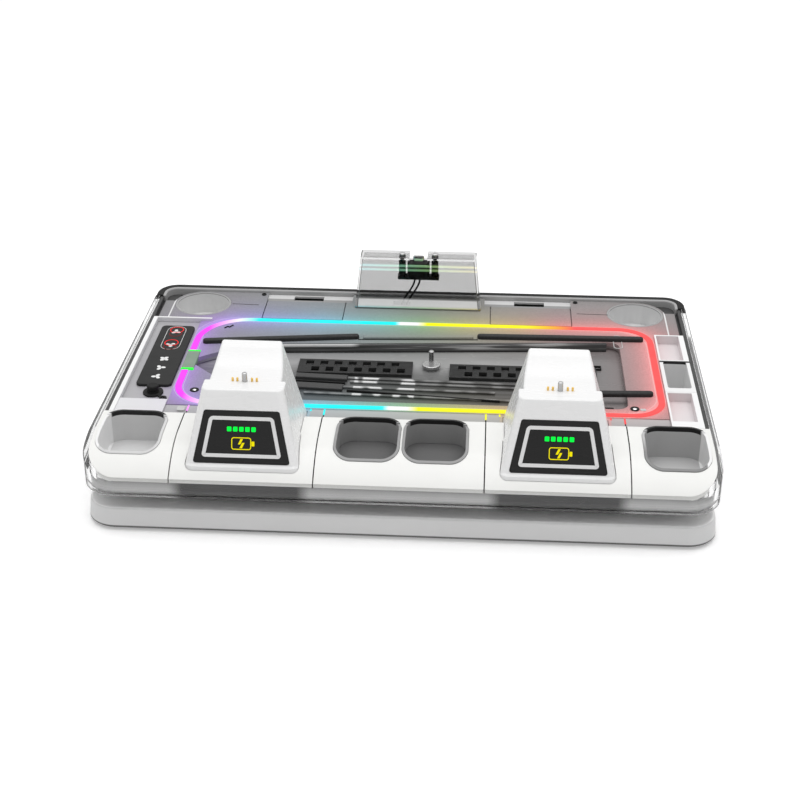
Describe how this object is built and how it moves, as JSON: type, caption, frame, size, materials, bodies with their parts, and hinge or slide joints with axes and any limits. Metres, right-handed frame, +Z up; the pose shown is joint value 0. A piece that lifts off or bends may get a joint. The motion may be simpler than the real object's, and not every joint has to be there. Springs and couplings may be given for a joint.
{
  "type": "controller charging dock",
  "caption": "Low clear-walled charging station with upright controller docks, handle pockets, a lit console bay, side trays and a rear connector post on a grey slab base.",
  "frame": {"origin": "on the table, under the middle of the station's outline", "axes": "+X to the right as seen from the front, +Y to the rear with the connector post, +Z up"},
  "size_m": [0.4, 0.27, 0.1024],
  "materials": {
    "white_plastic": "satin white moulding",
    "slab_grey": "fine matt texture",
    "chassis_grey": "matt dark grey",
    "clear_plastic": "polished clear",
    "black_gloss": "polished black",
    "black_matt": "matt black",
    "smoke_plastic": "smoke grey",
    "frosted_plastic": "frosted, slightly see-through",
    "light_strip": "lit milky strip",
    "screen_black": "glossy screen",
    "rubber_black": "soft matt",
    "steel": "turned",
    "bright_metal": "polished",
    "gold_plate": "gold plated",
    "board_green": "lacquered circuit board"
  },
  "bodies": {
    "station": {"base_cover": "slab_grey", "base_slab": "slab_grey", "bay_grilles": "black_matt", "bay_liner": "smoke_plastic", "card_tray_front": "white_plastic", "card_tray_rear": "white_plastic", "centre_panel": "white_plastic", "charge_board_left": "board_green", "charge_board_right": "board_green", "chassis_tray": "chassis_grey", "clear_case": "clear_plastic", "connector_tongue": "bright_metal", "console_deck": "frosted_plastic", "control_tray": "white_plastic", "dock_housing_left": "black_matt", "dock_housing_right": "black_matt", "dock_panel_left": "white_plastic", "dock_panel_right": "white_plastic", "dock_shell_left": "white_plastic", "dock_shell_right": "white_plastic", "end_panel_left": "white_plastic", "end_panel_right": "white_plastic", "fan_frame_left": "black_matt", "fan_frame_right": "black_matt", "grip_pocket_centre_left": "smoke_plastic", "grip_pocket_centre_right": "smoke_plastic", "grip_pocket_end_left": "smoke_plastic", "grip_pocket_end_right": "smoke_plastic", "guide_pin_left": "steel", "guide_pin_right": "steel", "housing_screws": "steel", "inner_frame": "chassis_grey", "light_coupler": "clear_plastic", "light_guide": "light_strip", "main_board": "board_green", "pedestal": "slab_grey", "pin_carrier_left": "black_matt", "pin_carrier_right": "black_matt", "port_plug": "rubber_black", "post_connector": "black_matt", "post_leads": "rubber_black", "post_screws": "steel", "post_shell": "clear_plastic", "power_inlet": "bright_metal", "rear_cup_left": "smoke_plastic", "rear_cup_right": "smoke_plastic", "rear_lid_left": "frosted_plastic", "rear_lid_right": "frosted_plastic", "rear_rim": "black_gloss", "rest_bars": "rubber_black", "rubber_feet": "rubber_black", "screen_lens_left": "screen_black", "screen_lens_right": "screen_black", "side_pocket": "smoke_plastic", "touch_panel": "black_gloss"},
    "fan_left": {"fan_rotor_left": "black_matt"},
    "fan_right": {"fan_rotor_right": "black_matt"},
    "fixing_screw": {"console_screw": "steel"},
    "pins_left": {"contact_pins_left": "gold_plate"},
    "pins_right": {"contact_pins_right": "gold_plate"}
  },
  "joints": [
    {"name": "fan_left_spin", "type": "hinge", "parent": "station", "child": "fan_left", "pos_m": [-0.043, 0.014, 0.038], "axis": [0, 0, 1], "continuous": true},
    {"name": "fan_right_spin", "type": "hinge", "parent": "station", "child": "fan_right", "pos_m": [0.057, 0.014, 0.038], "axis": [0, 0, 1], "continuous": true},
    {"name": "fixing_screw_turn", "type": "hinge", "parent": "station", "child": "fixing_screw", "pos_m": [0.014, 0.019, 0.048], "axis": [0, 0, 1], "continuous": true},
    {"name": "pins_left_press", "type": "slide", "parent": "station", "child": "pins_left", "axis": [0, 0, 1], "range_m": [-0.0015, 0], "stiffness_N_per_m": 200, "springref_m": 0.001},
    {"name": "pins_right_press", "type": "slide", "parent": "station", "child": "pins_right", "axis": [0, 0, 1], "range_m": [-0.0015, 0], "stiffness_N_per_m": 200, "springref_m": 0.001}
  ]
}
